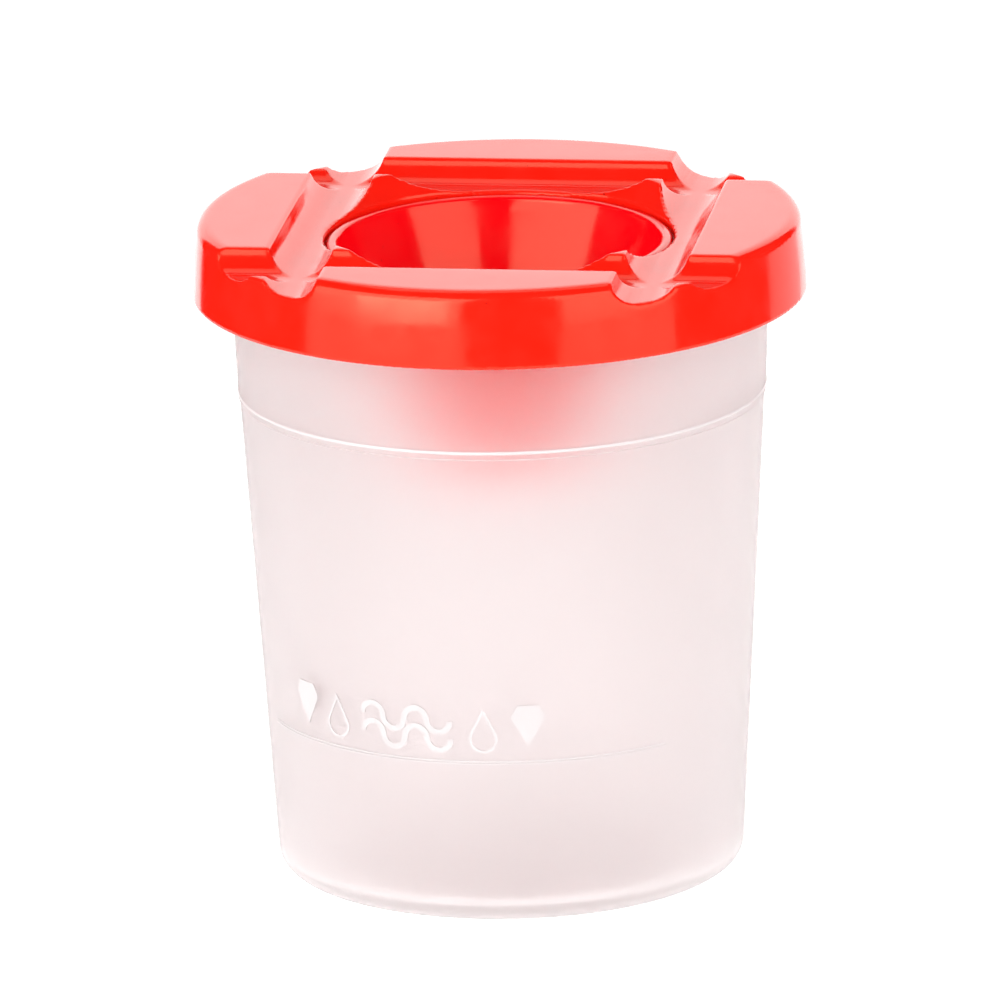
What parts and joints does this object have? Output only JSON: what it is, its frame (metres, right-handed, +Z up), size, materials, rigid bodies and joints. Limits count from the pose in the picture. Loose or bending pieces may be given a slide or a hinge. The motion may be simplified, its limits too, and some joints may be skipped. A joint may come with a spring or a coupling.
{
  "type": "brush washer with lid",
  "caption": "Round translucent brush-washing cup with a push-on lid crossed by brush rest grooves and a drop-in non-spill cone.",
  "frame": {"origin": "centre of the foot ring, on the surface that the cup stands on", "axes": "+Z up along the cup's axis; the lid's brush grooves run along X and Y; the fill marks face about -Y"},
  "size_m": [0.09, 0.09, 0.0984],
  "materials": {
    "milky_plastic": "milky translucent, fine scratches",
    "red_plastic": "glossy, moulded",
    "red_cone_plastic": "glossy, moulded"
  },
  "bodies": {
    "cup": {"cup": "milky_plastic"},
    "lid": {"lid": "red_plastic"},
    "cone": {"cone": "red_cone_plastic"}
  },
  "joints": [
    {"name": "lid_lift", "type": "slide", "parent": "cup", "child": "lid", "axis": [0, 0, 1], "range_m": [0, 0.045]},
    {"name": "cone_lift", "type": "slide", "parent": "lid", "child": "cone", "axis": [0, 0, 1], "range_m": [0, 0.045]}
  ]
}
